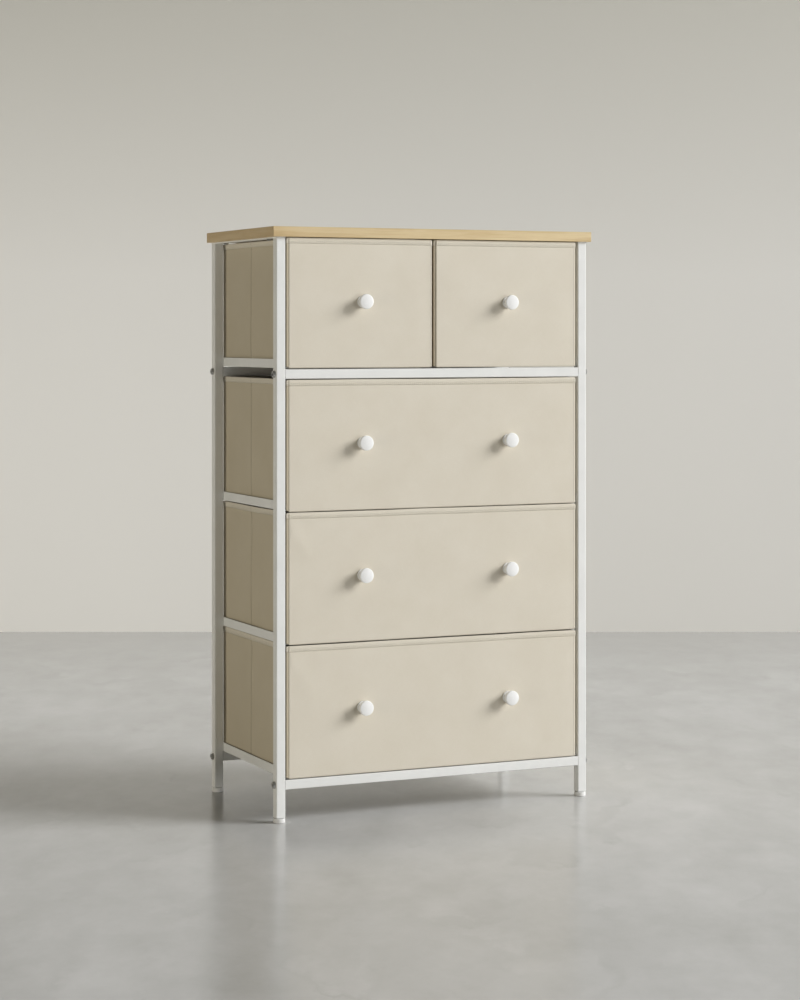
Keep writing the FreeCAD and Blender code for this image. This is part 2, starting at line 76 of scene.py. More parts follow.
class Paint:
    # a material with a Principled shader; fixed values go straight to its sockets
    def __init__(self, name, fixed):
        self.material = bpy.data.materials.new(name)
        self.material.use_nodes = True
        self.tree = self.material.node_tree
        self.shader = self.tree.nodes["Principled BSDF"]
        for socket, value in fixed.items():
            self.shader.inputs[socket].default_value = value

    def node(self, kind, settings, sockets, out=0):
        made = self.tree.nodes.new("ShaderNode" + kind)
        for name, value in settings.items():
            if name == "stops":
                self.setStops(made.color_ramp, value)
            else:
                setattr(made, name, value)
        for name, value in sockets.items():
            self.feed(made.inputs[name], value)
        return Wire(self, made.outputs[out])

    def setStops(self, ramp, stops):
        while len(ramp.elements) < len(stops):
            ramp.elements.new(0.5)
        for element, (place, colour) in zip(ramp.elements, stops):
            element.position = place
            element.color = colour

    def feed(self, socket, value):
        if isinstance(value, Wire):
            self.tree.links.new(value.socket, socket)
        else:
            socket.default_value = value

    def maths(self, operation, *values):
        return self.node("Math", {"operation": operation}, dict(enumerate(values)))

    def clamped(self, low, high, value):
        return self.node("MapRange", {"clamp": True},
                         {"Value": value, "From Min": low, "From Max": high})

    def mix(self, factor, first, second):
        return self.node("Mix", {"data_type": "RGBA"}, {0: factor, 6: first, 7: second}, out=2)

    def choose(self, factor, first, second):
        return self.node("Mix", {"data_type": "VECTOR"}, {0: factor, 4: first, 5: second}, out=1)

    def vector(self, x, y, z):
        return self.node("CombineXYZ", {}, {"X": x, "Y": y, "Z": z})

    def stretched(self, place, scale):
        return self.node("VectorMath", {"operation": "MULTIPLY"}, {0: place, 1: scale})

    def moved(self, place, by):
        return self.node("VectorMath", {"operation": "ADD"}, {0: place, 1: by})

    def place(self):
        return self.node("TexCoord", {}, {}, out="Object")

    def parts(self, vector):
        split = self.tree.nodes.new("ShaderNodeSeparateXYZ")
        self.feed(split.inputs[0], vector)
        return [Wire(self, output) for output in split.outputs]

    def facing(self):
        # how far the surface faces along x, y and z, each from 0 to 1
        normal = self.node("TexCoord", {}, {}, out="Normal")
        return [self.maths("ABSOLUTE", part) for part in self.parts(normal)]

    def noise(self, place, scale, detail=2.0, roughness=0.5):
        return self.node("TexNoise", {}, {"Vector": place, "Scale": scale, "Detail": detail,
                                          "Roughness": roughness})

    def attribute(self, name):
        return self.node("Attribute", {"attribute_name": name}, {}, out="Fac")

    def bump(self, height, distance, strength=1.0):
        self.set("Normal", self.node("Bump", {}, {"Height": height, "Distance": distance,
                                                  "Strength": strength}))

    def set(self, socket, value):
        self.feed(self.shader.inputs[socket], value)


def show(thing):
    bpy.context.scene.collection.objects.link(thing)
    return thing


def rgb(red, green, blue):
    return (red, green, blue, 1.0)


def coat(piece, paint):
    piece.data.materials.clear()
    piece.data.materials.append(paint.material)


def coatNodes(paint, *names):
    for name in names:
        coat(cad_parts[name], paint)


# cloth of the drawers

cloth = {
    "front": rgb(0.682, 0.630, 0.529),
    "frontWorn": rgb(0.737, 0.691, 0.598),
    # side cloth: the front cloth made darker as painted shade for the shaded sides, back and cords
    "side": rgb(0.545, 0.483, 0.363),
    "sideShadedWorn": rgb(0.595, 0.535, 0.420),
    # dark tone: painted shade in the seams, grooves and hem gaps, and the dark of the weave, lining
    # dots and thread twist
    "seam": rgb(0.330, 0.285, 0.205),
    "lining": rgb(0.640, 0.600, 0.500),
    "thread": rgb(0.860, 0.830, 0.730),
    "threadPitch": 0.85,    # one warp thread and its gap
    "weaveDepth": 0.06,
    "slub": 1.6,            # how far the threads wander, in radians of the weave
    # how far the painted seam shade darkens the cloth
    "seamShadeTone": 0.85,
    "liningDots": 2400.0,   # radians a metre
}


def clothPlace(paint):
    # flat coordinates along the cloth, whichever way the panel faces
    x, y, z = paint.parts(paint.place())
    facesX, _, facesZ = paint.facing()
    upright = paint.choose(facesX > 0.7, paint.vector(x, z, 0.0), paint.vector(y, z, 0.0))
    return paint.choose(facesZ > 0.7, upright, paint.vector(x, y, 0.0))


def weave(paint, flat):
    across, up, _ = paint.parts(flat)
    turn = math.tau / (cloth["threadPitch"] * mm)
    slub = paint.noise(flat, 900.0, 1.0) * cloth["slub"]
    warp = paint.maths("SINE", across * turn + slub)
    weft = paint.maths("SINE", up * turn + slub)
    return warp * weft * 0.5 + 0.5


def makeClothPaint(name, plain, worn):
    paint = Paint(name, {"Specular IOR Level": 0.25, "Sheen Weight": 0.12, "Sheen Roughness": 0.5})
    flat = clothPlace(paint)
    threads = weave(paint, flat)
    mottle = paint.noise(flat, 14.0, 5.0, 0.6)
    streaks = paint.noise(paint.stretched(flat, (160.0, 1100.0, 1.0)), 1.0, 3.0)
    slubs = paint.noise(paint.stretched(flat, (1100.0, 160.0, 1.0)), 1.0, 3.0)
    wear = paint.clamped(0.35, 0.75, mottle * 0.55 + streaks * 0.25 + slubs * 0.20)
    ground = paint.mix(wear, plain, worn)
    shaded = paint.mix(threads * 0.10, ground, cloth["seam"])
    # painted shade along the seams, the cord's groove, the fold and the hem gaps, from the mesh's
    # seam attribute
    seam = paint.attribute("seam")
    paint.set("Base Color", paint.mix(seam * cloth["seamShadeTone"], shaded, cloth["seam"]))
    paint.set("Roughness", 0.86 + mottle * 0.08)
    paint.bump(threads * cloth["weaveDepth"] + streaks * 0.05 + slubs * 0.05 + mottle * 0.25, mm)
    return paint


def makeLiningPaint():
    # non-woven cloth, pressed with a grid of small dots
    paint = Paint("lining", {"Specular IOR Level": 0.2, "Sheen Weight": 0.08})
    flat = clothPlace(paint)
    across, up, _ = paint.parts(flat)
    dots = (paint.maths("SINE", across * cloth["liningDots"])
            * paint.maths("SINE", up * cloth["liningDots"]))
    pressed = paint.clamped(0.45, 0.8, dots)
    fibres = paint.noise(flat, 420.0, 6.0, 0.7)
    soiled = pressed * 0.35 + fibres * 0.2
    paint.set("Base Color", paint.mix(soiled, cloth["lining"], cloth["seam"]))
    paint.set("Roughness", 0.82 + fibres * 0.12)
    paint.bump(fibres * 0.2 - pressed * 0.15, mm)
    return paint


def makeThreadPaint():
    paint = Paint("thread", {"Specular IOR Level": 0.3, "Sheen Weight": 0.2})
    twist = paint.maths("SINE", paint.noise(paint.place(), 1400.0, 1.0) * 14.0)
    paint.set("Base Color", paint.mix(twist * 0.12 + 0.12, cloth["thread"], cloth["seam"]))
    paint.set("Roughness", 0.6 + twist * 0.05)
    paint.bump(twist * 0.1, mm)
    return paint


frontPaint = makeClothPaint("front_cloth", cloth["front"], cloth["frontWorn"])
shadedSidePaint = makeClothPaint("side_cloth_painted_shade", cloth["side"], cloth["sideShadedWorn"])
liningPaint = makeLiningPaint()
threadPaint = makeThreadPaint()
print("cloth paints made")


# drawer shells: hem, corded and turned front edges, fold seams and creases

shell = {
    "wall": 1.8,
    "corner": 1.5,          # rounding of the plain box
    "frontMargin": 9.0,     # depth of the front corners along the sides
    "edgeRound": 2.0,       # rounding of the right front edge
    "edgeProud": 0.35,
    "bottomRound": 2.0,
    "elevationRound": 2.0,  # rounding of the front panel's lower corners, seen from the front
    "lipDepth": 5.2,
    "hem": 9.0,
    "hemProud": 0.6,
    "hemInside": 0.6,
    "solidHem": 0.6,        # how far the solid shell's hem stands out from its walls
    "solidLip": 1.5,        # how far the solid shell's front hangs below its floor
    "stitchDrop": 7.8,
    "topTurn": 1.3,         # height of the hem's fold over the top
    "topDrop": 0.4,
    "frontBow": 0.35,
    "frontWaves": 0.09,
    "sideWaves": 0.45,
    "sideSag": 0.3,
    "edgeWaves": 0.15,
    "liningWaves": 0.25,
    "dimple": 20.0,         # radius that each knob presses flat
    "foldWidth": 1.3,
    "foldDepth": 1.1,
    "foldAt": 0.555,        # place of the sides' fold seam, from the front, as a share of the depth
    "floorLift": 1.7,
}

# How a shell is divided into columns and rows.
division = {
    "step": 9.0,
    "liningStep": 24.0,
    "frontCorner": 21,      # columns in a front corner
    "backCorner": 7,
    "turnedSide": 6,        # columns along the side in the right front corner
    "margin": 6.0,
    "foldMargin": 14.0,
    "foldColumns": (0.35, 0.7, 1.0, 1.4, 2.0, 3.0, 5.0, 9.0),
    "besideLeft": 2.6,
    "besideRight": 3.4,
    "besideColumns": (1.0, 2.2, 3.6),
    "bottomRows": 5,
    "hemRows": 9,
    "turnRows": 7,          # rows in the hem's fold over the top
}

# Where something changes behind the front: where the change starts, and over what length.
blends = {"drop": (14.0, 11.0), "rounding": (5.0, 3.0), "rise": (40.0, 36.0)}

# The cord sewn into the left upright edge of a front: its radius, how far its middle lies
# outside the panel's edge, the groove between it and the panel, the panel's own rounding, and
# the columns round it.
cord = {"radius": 2.1, "out": 1.6, "gap": 0.35, "edgeRound": 1.3, "columns": 11}

# The crease at a front's upper left corner: its lean across and down, where it fades in and
# out, how wide it is and how fast it widens, and the hollow beside it.
creaseShape = {"lean": (0.86, 0.51), "fadeIn": 14.0, "end": 120.0, "fadeOut": 90.0, "width": 5.0,
               "widening": 0.10, "hollow": 0.5, "hollowAt": 13.0, "hollowWidth": 10.0}

# The longest and the shortest of the soft waves in each cloth.
waveLengths = {"edge": (230.0, 90.0), "front": (210.0, 60.0), "side": (190.0, 70.0),
               "back": (210.0, 80.0), "lining": (200.0, 80.0)}

# The front panel of each drawer: its left and right edge, how far it hangs below the floor,
# how far the front and the other walls stand above the plain top, how far the cord's middle
# lies behind the front, and the height of the crease.
plainFront = {"left": -251.3, "right": 250.4, "drop": 1.5, "rise": 0.5, "sides": -1.6,
              "cordDeep": 2.2, "crease": 0.0}
fronts = {
    "small_drawer_left": {**plainFront, "right": -7.3},
    "small_drawer_right": {**plainFront, "left": -0.1, "cordDeep": 3.9},
    "upper_drawer": {**plainFront, "drop": 3.1, "rise": 0.9, "sides": 1.8, "crease": 0.15},
    "middle_drawer": {**plainFront, "drop": 1.9, "rise": 2.1, "sides": 2.4, "crease": 0.75},
    "lower_drawer": {**plainFront, "drop": 1.9, "rise": 2.9, "sides": 2.6, "crease": 0.65},
}


def smooth(value):
    held = np.clip(value, 0.0, 1.0)
    return held * held * (3.0 - 2.0 * held)


def bell(value, middle, width):
    return np.exp(-((value - middle) / width) ** 2)


def spread(low, high, step):
    return np.linspace(low, high, max(2, int(round(abs(high - low) / step)) + 1))


def softWaves(seed, a, b, kind, count=7):
    # smooth random waves over two coordinates in millimetres, about 1 high
    longest, shortest = waveLengths[kind]
    random = np.random.default_rng(seed)
    total = np.zeros(np.broadcast(a, b).shape)
    for _ in range(count):
        length = random.uniform(shortest, longest)
        angle = random.uniform(0.0, math.tau)
        phase = random.uniform(0.0, math.tau)
        along = (a * math.cos(angle) + b * math.sin(angle)) / length
        total = total + np.sin(math.tau * along + phase) / math.sqrt(count / 2.0)
    return total


def cornerArc(centre, radius, start, stop, count):
    turns = np.radians(np.linspace(start, stop, count))
    return np.column_stack([centre[0] + radius * np.cos(turns), centre[1] + radius * np.sin(turns)])


def cordedCorner(edgeX, frontY, deep, count):
    # Plan of a left front corner, from the side round the cord to the panel, worked out as
    # distances outside the panel's edge and behind the front.
    radius, out, bend = cord["radius"], cord["out"], cord["edgeRound"]
    start = np.array([[0.0, deep + radius + 2.2]])
    around = cornerArc((out, deep), radius, 110.0, -130.0, cord["columns"])
    groove = np.array([[out - radius * 0.72, deep - radius * 0.45]])
    edge = cornerArc((-bend - cord["gap"], bend), bend, 0.0, -90.0, count - cord["columns"] - 2)
    line = np.concatenate([start, around, groove, edge])
    return np.column_stack([edgeX - line[:, 0], frontY + line[:, 1]])


def turnedCorner(edgeX, frontY, count):
    # Plan of a right front corner from the panel to the side: the cloth's turned edge stands a
    # little proud of the panel.
    bend, proud, along = shell["edgeRound"], shell["edgeProud"], division["turnedSide"]
    inner = np.array([[-bend - 1.2, -proud * 0.1], [-bend - 0.6, -proud * 0.6]])
    edge = cornerArc((-bend, bend - proud), bend, -90.0, 0.0, count - along - len(inner))
    side = np.column_stack([np.zeros(along),
                            np.linspace(bend + 0.6, shell["frontMargin"] - 1.0, along)])
    line = np.concatenate([inner, edge, side])
    return np.column_stack([edgeX + line[:, 0], frontY + line[:, 1]])


def plainCorner(centreX, centreY, start, count):
    # points of a rounded corner, and the directions outwards
    points = cornerArc((centreX, centreY), shell["corner"], start, start + 90.0, count)
    return points, (points - np.array([centreX, centreY])) / shell["corner"]


def makePlan(front, nearY, farY):
    # Plan of a shell as columns, anticlockwise from the back left corner. Gives the plain
    # rounded box, the same with its sewn front edges, the outward directions and which panel a
    # column is on.
    left, right = front["left"], front["right"]
    radius, margin, step = shell["corner"], division["margin"], division["step"]
    count, backCount = division["frontCorner"], division["backCorner"]
    foldY = nearY + (farY - nearY) * shell["foldAt"]
    halves = np.array(division["foldColumns"])
    fold = np.concatenate([-halves[::-1], [0.0], halves])
    foldMargin = division["foldMargin"]
    sideY = np.concatenate([spread(farY - margin, foldY + foldMargin, step), foldY - fold,
                            spread(foldY - foldMargin, nearY + shell["frontMargin"], step)])
    beside = np.array(division["besideColumns"])
    frontX = np.concatenate([left + division["besideLeft"] + beside,
                             spread(left + margin, right - margin, step)[1:-1],
                             right - division["besideRight"] - beside[::-1]])
    backX = np.linspace(right - margin, left + margin, len(frontX) + count - backCount)

    pieces = []   # plain points, sewn points, outward directions, panel

    def addLine(x, y, way, panel):
        line = np.column_stack(np.broadcast_arrays(x, y))
        pieces.append((line, line, np.tile(way, (len(line), 1)), panel))

    def addCorner(centreX, centreY, start, count, panel, sewn=None):
        points, ways = plainCorner(centreX, centreY, start, count)
        pieces.append((points, points if sewn is None else sewn, ways, panel))

    addCorner(left + radius, farY - radius, 90.0, backCount, "back")
    addLine(left, sideY, (-1.0, 0.0), "side")
    addCorner(left + radius, nearY + radius, 180.0, count, "corner",
              cordedCorner(left, nearY, front["cordDeep"], count))
    addLine(frontX, nearY, (0.0, -1.0), "front")
    addCorner(right - radius, nearY + radius, 270.0, count, "corner",
              turnedCorner(right, nearY, count))
    addLine(right, sideY[::-1], (1.0, 0.0), "side")
    addCorner(right - radius, farY - radius, 0.0, backCount, "back")
    addLine(backX, farY, (0.0, 1.0), "back")

    plain, sewn, ways = (np.concatenate([piece[part] for piece in pieces]) for part in range(3))
    panels = np.concatenate([np.full(len(piece[0]), piece[3]) for piece in pieces])
    starts = np.cumsum([0] + [len(piece[0]) for piece in pieces])
    # middle column of each corner: back left, front left, front right, back right
    turns = [starts[0] + backCount // 2, starts[2] + count // 2, starts[4] + count // 2,
             starts[6] + backCount // 2]
    groove = np.zeros(len(plain))
    groove[starts[2] + cord["columns"] + 1] = 1.0
    return {"plain": plain, "sewn": sewn, "ways": ways, "panels": panels, "turns": turns,
            "foldY": foldY, "groove": groove}


def wallRows(height):
    # Rows up the outside: height, offset outwards, and how much of the sewn front edges shows.
    rows = []
    bend = shell["bottomRound"]
    for turn in np.radians(np.linspace(0.0, 90.0, division["bottomRows"])):
        rows.append((bend * (1 - math.cos(turn)), -bend * (1 - math.sin(turn)),
                     math.sin(turn) ** 0.5))
    hemLow = height - shell["hem"]
    rows += [(level, 0.0, 1.0) for level in spread(4.5, hemLow - 3.0, division["step"])]
    rows += [(hemLow - 1.0, 0.0, 1.0), (hemLow - 0.3, -0.05, 0.9), (hemLow - 0.05, 0.0, 0.8)]
    # the hem dips along its stitches and swells towards its fold
    stitches = height - shell["stitchDrop"]
    band = [(hemLow + 0.1, 0.55), (hemLow + 0.4, 0.9), (hemLow + 0.9, 1.0), (stitches - 0.45, 0.85),
            (stitches, 0.5), (stitches + 0.45, 0.85), (stitches + 1.1, 1.1), (stitches + 2.6, 1.25),
            (height - 3.2, 1.2), (height - shell["topTurn"], 1.0)]
    return rows + [(level, shell["hemProud"] * share, 0.85) for level, share in band]


def edgesOf(turns, count):
    # columns along the left, front, right and back edge of a patch, from front to back and
    # from left to right
    backLeft, frontLeft, frontRight, backRight = turns
    return (np.arange(frontLeft, backLeft - 1, -1), np.arange(frontLeft, frontRight + 1),
            np.arange(frontRight, backRight + 1),
            np.arange(backLeft + count, backRight - 1, -1) % count)


def patch(ring, edges):
    # fills a ring of columns with a grid of points
    left, front, right, back = (ring[edge] for edge in edges)
    s = np.linspace(0.0, 1.0, len(front))[None, :, None]
    t = np.linspace(0.0, 1.0, len(left))[:, None, None]
    return ((1 - t) * front[None] + t * back[None] + (1 - s) * left[:, None] + s * right[:, None]
            - (1 - s) * (1 - t) * front[0] - s * (1 - t) * front[-1]
            - (1 - s) * t * back[0] - s * t * back[-1])


def patchIndices(first, edges, inner):
    # numbers of the patch's points: the ring's own on its border, new ones from inner inside
    left, front, right, back = (first + edge for edge in edges)
    rows, columns = len(left), len(front)
    grid = np.zeros((rows, columns), int)
    new = np.arange((rows - 2) * (columns - 2)).reshape(rows - 2, columns - 2)
    grid[1:-1, 1:-1] = inner + new
    grid[:, 0], grid[0], grid[:, -1], grid[-1] = left, front, right, back
    return grid


def quadsOf(grid, flip):
    a, b, c, d = grid[:-1, :-1], grid[:-1, 1:], grid[1:, 1:], grid[1:, :-1]
    order = (a, d, c, b) if flip else (a, b, c, d)
    return np.stack([corner.ravel() for corner in order], axis=1)


def closedQuads(first, rows, columns, flip):
    # quads between rings of columns that close on themselves
    index = first + np.arange(rows * columns).reshape(rows, columns)
    return quadsOf(np.concatenate([index, index[:, :1]], axis=1), flip)


def smoothMesh(name, points, faces):
    mesh = bpy.data.meshes.new(name)
    mesh.from_pydata(points, [], faces)
    mesh.validate()
    mesh.polygons.foreach_set("use_smooth", np.ones(len(mesh.polygons), bool))
    return mesh


def addPiece(name, mesh, body):
    piece = show(bpy.data.objects.new(name, mesh))
    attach(piece, body)
    return piece


def knobNodes(drawer):
    return [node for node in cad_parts
            if node.startswith(f"{drawer}_knob") and not node.endswith("screws")]


def knobPlaces(drawer):
    boxes = [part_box(node) for node in knobNodes(drawer)]
    return [((low.x + high.x) / 2 / mm, (low.z + high.z) / 2 / mm) for low, high in boxes]


def measure(name, front, seed):
    # A shell's plan and size, and for every column its two ends, how far it is in the fold seam
    # and how loose its cloth is, which is tight at the front's upright edges.
    low, high = (np.array(corner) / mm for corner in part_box(f"{name}_shell"))
    nearY, farY = low[1] + shell["solidHem"], high[1] - shell["solidHem"]
    floorZ, topZ = low[2] + shell["solidLip"], high[2]
    plan = makePlan(front, nearY, farY)
    x, y = plan["plain"].T

    def share(blend):
        start, length = blends[blend]
        return smooth((nearY + start - y) / length)

    sewnX = plan["sewn"][:, 0]
    fromEdge = np.minimum(sewnX - front["left"], front["right"] - sewnX)
    bend = shell["elevationRound"]
    inBend = np.clip(bend - fromEdge, 0.0, bend)
    cornerRise = bend - np.sqrt(np.maximum(bend * bend - inBend * inBend, 0.0))
    bottomZ = floorZ - share("drop") * front["drop"] + share("rounding") * cornerRise * 0.8
    ripple = softWaves(seed, x, y, "edge") * shell["edgeWaves"]
    upper = share("rise")
    upperZ = (topZ - shell["topDrop"] + upper * front["rise"] + (1 - upper) * front["sides"]
              + ripple - 0.15 * inBend * upper)
    folded = np.where(plan["panels"] == "side", bell(y, plan["foldY"], shell["foldWidth"]), 0.0)
    return {"plan": plan, "x": x, "y": y, "nearY": nearY, "farY": farY, "floorZ": floorZ,
            "height": topZ - floorZ, "bottomZ": bottomZ, "upperZ": upperZ, "folded": folded,
            "loose": smooth((fromEdge - 1.0) / 25.0), "knobs": knobPlaces(name)}


def heightsAt(cut, level):
    # heights of a row's columns, level millimetres up the wall
    return cut["bottomZ"] + (cut["upperZ"] - cut["bottomZ"]) * (level / cut["height"])


def creaseAt(front, fromLeft, below):
    lean, drop = creaseShape["lean"]
    across = fromLeft * lean - below * drop
    along = fromLeft * drop + below * lean
    fade = (smooth(along / creaseShape["fadeIn"])
            * smooth((creaseShape["end"] - along) / creaseShape["fadeOut"]))
    ridge = bell(across, 0.0, creaseShape["width"] + along * creaseShape["widening"])
    hollow = bell(across, creaseShape["hollowAt"], creaseShape["hollowWidth"])
    return front["crease"] * (ridge - creaseShape["hollow"] * hollow) * fade


def frontOffset(front, cut, seed, level, z):
    # the front panel is bowed, waved, pressed flat at the knobs and creased at a corner
    x = cut["x"]
    bow = shell["frontBow"] * math.sin(math.pi * level / cut["height"]) ** 0.5
    waves = softWaves(seed + 1, x, z, "front") * shell["frontWaves"]
    press = np.ones(len(x))
    for knobX, knobZ in cut["knobs"]:
        press = press * (1 - bell(np.hypot(x - knobX, z - knobZ), 0.0, shell["dimple"]))
    below = cut["upperZ"] - shell["hem"] - z
    return (bow + waves) * cut["loose"] * press + creaseAt(front, x - front["left"], below)


def sideOffset(cut, seed, z):
    y = cut["y"]
    waves = softWaves(seed + 2, y, z, "side") * shell["sideWaves"]
    room = smooth((y - cut["nearY"] - 6.0) / 20.0) * smooth((cut["farY"] - 6.0 - y) / 20.0)
    return (waves - shell["sideSag"]) * room


def backOffset(cut, seed, z):
    waves = softWaves(seed + 3, cut["x"], z, "back") * shell["sideWaves"]
    return (waves - shell["sideSag"]) * cut["loose"]


def shellRings(front, cut, seed):
    # The shell as rings of columns, from under the floor, up the outside, over the hem and down
    # the lining. Gives the rings, how much painted seam shade each point takes, and the outside's
    # last ring.
    plan, folded, height = cut["plan"], cut["folded"], cut["height"]
    plain, sewn, ways, panels = plan["plain"], plan["sewn"], plan["ways"], plan["panels"]
    floorZ, bottomZ = cut["floorZ"], cut["bottomZ"]
    count = len(plain)
    rings, seamShades = [], []

    def addRing(points, z, seam):
        rings.append(np.column_stack([points, np.broadcast_to(z, (count,))]))
        seamShades.append(np.broadcast_to(seam, (count,)).astype(float))

    middle = (plain.max(axis=0) + plain.min(axis=0)) / 2
    half = (plain.max(axis=0) - plain.min(axis=0)) / 2

    def drawnIn(inset):
        return middle + (plain - middle) * (half - inset) / half

    # underside: flat, then the front's lip
    addRing(drawnIn(shell["lipDepth"] + 1.5), floorZ, 0.0)
    addRing(drawnIn(shell["lipDepth"]), floorZ, 0.1)
    addRing(drawnIn(shell["lipDepth"] - 1.2), floorZ * 0.3 + bottomZ * 0.7, 0.2)

    hemLow = height - shell["hem"]
    whichPanel = [panels == panel for panel in ("front", "side", "back")]
    for level, outward, sewnShare in wallRows(height):
        z = heightsAt(cut, level)
        inside = smooth(level / 12.0) * smooth((hemLow - level) / 10.0)
        inHem = 1.0 if level > hemLow else 0.0
        onPanels = [frontOffset(front, cut, seed, level, z) * max(inside, 0.25 * inHem),
                    sideOffset(cut, seed, z) * inside, backOffset(cut, seed, z) * inside]
        offset = (outward + np.select(whichPanel, onPanels)
                  - folded * shell["foldDepth"] * (1 - 0.75 * inHem))
        # painted shade in the gaps under the hem and along its stitches
        gapShades = max(0.25 * bell(level, hemLow - 0.1, 0.45),
                   0.25 * bell(level, height - shell["stitchDrop"], 0.5))
        # painted shade in the groove beside the cord and in the fold seam
        sunk = np.maximum(plan["groove"] * 0.7 * sewnShare, folded * (1 - 0.6 * inHem))
        addRing(plain * (1 - sewnShare) + sewn * sewnShare + ways * offset[:, None], z,
                np.maximum(sunk, gapShades))
    outerTop = len(rings) - 1

    # the hem's fold over the top, and the inside down to the floor
    outerRing = rings[outerTop]
    lining = -shell["wall"]
    hemLining = lining - shell["hemInside"]
    innerTop = np.column_stack([plain + ways * hemLining, outerRing[:, 2]])
    centre = (outerRing + innerTop) / 2
    for turn in np.radians(np.linspace(0.0, 180.0, division["turnRows"] + 2)[1:-1]):
        ring = centre + (outerRing - centre) * math.cos(turn)
        addRing(ring[:, :2], centre[:, 2] + shell["topTurn"] * math.sin(turn), 0.0)
    addRing(innerTop[:, :2], innerTop[:, 2], 0.0)
    # the last number of each row is painted shade in the inside corners under the hem and over the
    # floor
    insideRows = [(hemLow + 2.0, hemLining, 0.0), (hemLow + 0.3, hemLining + 0.1, 0.3),
                  (hemLow, lining, 0.8), (hemLow - 1.0, lining, 0.1)]
    insideRows += [(level, lining, 0.0)
                   for level in spread(hemLow - 12.0, 12.0, division["liningStep"])]
    insideRows += [(shell["floorLift"] + 1.2, lining, 0.3)]
    for level, inset, seam in insideRows:
        z = floorZ + level if level < 40.0 else heightsAt(cut, level)
        slack = softWaves(seed + 4, plain.sum(axis=1), z, "lining") * shell["liningWaves"]
        slack = np.abs(slack * smooth((hemLow - level) / 30.0)) * smooth(level / 30.0)
        slack = np.where(panels == "front", 0.0, slack)
        addRing(plain + ways * (inset - slack)[:, None], z, np.maximum(seam, folded * 0.5))
    addRing(drawnIn(shell["wall"] + 0.5), floorZ + shell["floorLift"], 0.3)
    addRing(drawnIn(shell["wall"] + 2.5), floorZ + shell["floorLift"], 0.0)
    return rings, seamShades, outerTop


def makeShell(name, front, seed):
    cut = measure(name, front, seed)
    rings, seamShades, outerTop = shellRings(front, cut, seed)
    rows, count = len(rings), len(rings[0])
    edges = edgesOf(cut["plan"]["turns"], count)

    # join the rings, then fill the underside and the inner floor
    points = list(rings)
    faces = [closedQuads(0, rows, count, False)]
    rowsOf = [np.repeat(np.arange(rows - 1), count)]
    for row, flip in ((0, True), (rows - 1, False)):
        grid = patchIndices(row * count, edges, sum(map(len, points)))
        points.append(patch(rings[row], edges)[1:-1, 1:-1].reshape(-1, 3))
        seamShades.append(np.zeros(len(points[-1])))
        faces.append(quadsOf(grid, flip))
        rowsOf.append(np.full(len(faces[-1]), row))
    points = np.concatenate(points) * mm
    faces, rowsOf = np.concatenate(faces), np.concatenate(rowsOf)
    mesh = smoothMesh(f"{name}_cloth", points.tolist(), faces.tolist())
    # the seam attribute is the mask of the painted seam shade
    mesh.attributes.new("seam", "FLOAT", "POINT").data.foreach_set("value", np.concatenate(seamShades))
    for paint in (frontPaint, shadedSidePaint, liningPaint):
        mesh.materials.append(paint.material)
    # front cloth on the front and the hem, side cloth, the front cloth darkened as painted shade,
    # on the cords, lining inside
    middles = points[faces].mean(axis=1) / mm
    onPanel = (middles[:, 1] < cut["nearY"] + 2.5) & (middles[:, 0] > front["left"])
    paintOf = np.where(onPanel | (rowsOf >= outerTop - division["hemRows"]), 0, 1)
    paintOf = np.where(rowsOf > outerTop + division["turnRows"], 2, paintOf)
    mesh.polygons.foreach_set("material_index", paintOf.astype(np.int32))
    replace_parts(addPiece(f"{name}_cloth_shell", mesh, name), f"{name}_shell")
    return cut


# stitches: short lengths of thread, sewn along the hem and the fold seams

stitch = {
    "length": 2.5,
    "width": 0.66,
    "pitch": 3.5,
    "sunk": 0.1,
    "foldSunk": 0.35,
    "foldGap": 2.3,        # between the fold seam and its stitches
    "rowGap": 2.4,         # between the hem's two rows
    "rowsProud": (0.5, 1.2),
    "sides": 6,
}


def threadShape():
    rings = [(-0.5, 0.35), (-0.36, 0.85), (0.0, 1.0), (0.36, 0.85), (0.5, 0.35)]
    sides = stitch["sides"]
    turns = np.radians(np.arange(sides) * 360.0 / sides)
    points = [(along * stitch["length"], math.cos(turn) * share * stitch["width"] / 2,
               math.sin(turn) * share * stitch["width"] / 2)
              for along, share in rings for turn in turns]
    last = (len(rings) - 1) * sides
    ends = [list(range(sides))[::-1], list(range(last, last + sides))]
    return np.array(points), closedQuads(0, len(rings), sides, False).tolist() + ends


